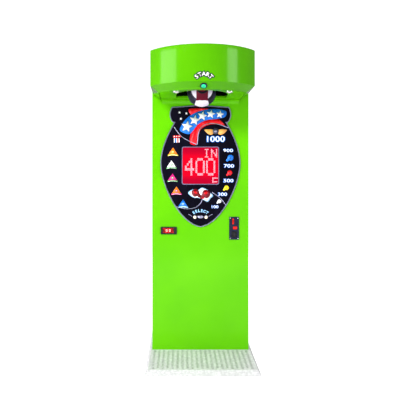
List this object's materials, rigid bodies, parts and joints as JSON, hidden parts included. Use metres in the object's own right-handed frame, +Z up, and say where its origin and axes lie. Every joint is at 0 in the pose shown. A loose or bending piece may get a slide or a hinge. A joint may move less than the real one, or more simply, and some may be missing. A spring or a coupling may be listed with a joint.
{
  "type": "boxing punch machine",
  "caption": "Tall arcade punch machine: cabinet with curved head, swinging leather punch ball, lit scoring fascia, coin unit and tread-plate platform.",
  "frame": {"origin": "on the floor, under the middle of the machine's overall box", "axes": "+Z up, -Y is the front where the player stands, +X to the player's right"},
  "size_m": [0.8054, 1.2013, 2.25],
  "materials": {
    "painted_green": "high-gloss lime green gel coat",
    "painted_green_panel": "gloss lime green lacquer on board",
    "gloss_black": "polished back-printed acrylic",
    "black_plastic": "fine moulded texture",
    "navy_paint": "satin powder coat",
    "silver_trim": "satin anodised",
    "steel": "zinc-plated sheet and bar",
    "chrome": "polished plating",
    "tread_aluminium": "raised tread pattern, mill finish",
    "rubber": "matt black",
    "red_lens": "lit tinted acrylic",
    "green_lens": "lit button cap",
    "cream_lens": "lit button cap",
    "red_plastic": "smooth moulded",
    "ball_leather": "white, black and dark red stitched panels",
    "collar_leather": "dark red",
    "plywood": "birch plywood",
    "circuit_board": "solder-masked board"
  },
  "bodies": {
    "cabinet": {"tread_plate": "tread_aluminium", "base_frame": "steel", "front_panel": "painted_green_panel", "left_side_panel": "painted_green_panel", "right_side_panel": "painted_green_panel", "bottom_panel": "plywood", "top_panel": "painted_green_panel", "rear_sill": "painted_green_panel", "rear_upper_panel": "painted_green_panel", "equipment_shelf": "plywood", "left_wheel_bracket": "steel", "right_wheel_bracket": "steel", "mains_inlet": "black_plastic", "head_shell": "painted_green", "soffit_panel": "painted_green_panel", "cove_moulding": "painted_green_panel", "left_downlight": "chrome", "right_downlight": "chrome", "start_button_bezel": "navy_paint", "fascia_panel": "gloss_black", "fascia_trim": "silver_trim", "display_frame": "silver_trim", "display_window": "red_lens", "led_board": "circuit_board", "left_select_bezel": "chrome", "right_select_bezel": "chrome", "credit_bezel": "black_plastic", "credit_window": "red_lens", "coin_plate": "navy_paint", "coin_entry": "red_plastic", "coin_selector": "black_plastic", "coin_chute": "steel", "cash_box": "steel", "power_supply": "steel", "control_board": "circuit_board", "mechanism_frame": "steel", "left_axle_bearing": "steel", "right_axle_bearing": "steel", "holding_magnet": "steel", "arm_bumper": "rubber", "swing_sensor": "black_plastic"},
    "punch_arm": {"arm_axle": "chrome", "arm_hub": "steel", "arm_tube": "chrome", "ball_collar": "collar_leather", "punch_ball": "ball_leather", "sensor_disc": "black_plastic", "armature_plate": "steel"},
    "start_cap": {"start_button": "green_lens"},
    "left_select_cap": {"left_select_button": "cream_lens"},
    "right_select_cap": {"right_select_button": "cream_lens"},
    "reject_cap": {"reject_button": "red_plastic"},
    "coin_flap": {"return_flap": "black_plastic"},
    "service_door": {"rear_door": "painted_green_panel", "lower_door_hinge": "steel", "upper_door_hinge": "steel", "door_lock": "chrome"},
    "lock_tongue": {"lock_cam": "steel"},
    "left_wheel": {"left_transport_wheel": "rubber"},
    "right_wheel": {"right_transport_wheel": "rubber"}
  },
  "joints": [
    {"name": "arm_swing", "type": "hinge", "parent": "cabinet", "child": "punch_arm", "pos_m": [0, -0.4855, 2.004], "axis": [1, 0, 0], "range_deg": [-84, 0]},
    {"name": "start_press", "type": "slide", "parent": "cabinet", "child": "start_cap", "axis": [0, 0.613, 0.7901], "range_m": [0, 0.004], "stiffness_N_per_m": 400},
    {"name": "left_select_press", "type": "slide", "parent": "cabinet", "child": "left_select_cap", "axis": [0, 1, 0], "range_m": [0, 0.003], "stiffness_N_per_m": 300},
    {"name": "right_select_press", "type": "slide", "parent": "cabinet", "child": "right_select_cap", "axis": [0, 1, 0], "range_m": [0, 0.003], "stiffness_N_per_m": 300},
    {"name": "reject_press", "type": "slide", "parent": "cabinet", "child": "reject_cap", "axis": [0, 1, 0], "range_m": [0, 0.003], "stiffness_N_per_m": 300},
    {"name": "return_flap_swing", "type": "hinge", "parent": "cabinet", "child": "coin_flap", "pos_m": [0.2604, -0.0605, 0.933], "axis": [1, 0, 0], "range_deg": [0, 50]},
    {"name": "rear_door_swing", "type": "hinge", "parent": "cabinet", "child": "service_door", "pos_m": [-0.354, 0.541, 0.8], "axis": [0, 0, 1], "range_deg": [0, 110]},
    {"name": "lock_turn", "type": "hinge", "parent": "service_door", "child": "lock_tongue", "pos_m": [0.31, 0.5, 0.82], "axis": [0, 1, 0], "range_deg": [0, 90]},
    {"name": "left_wheel_roll", "type": "hinge", "parent": "cabinet", "child": "left_wheel", "pos_m": [-0.28, 0.5708, 0.039], "axis": [1, 0, 0], "continuous": true},
    {"name": "right_wheel_roll", "type": "hinge", "parent": "cabinet", "child": "right_wheel", "pos_m": [0.28, 0.5708, 0.039], "axis": [1, 0, 0], "continuous": true}
  ]
}
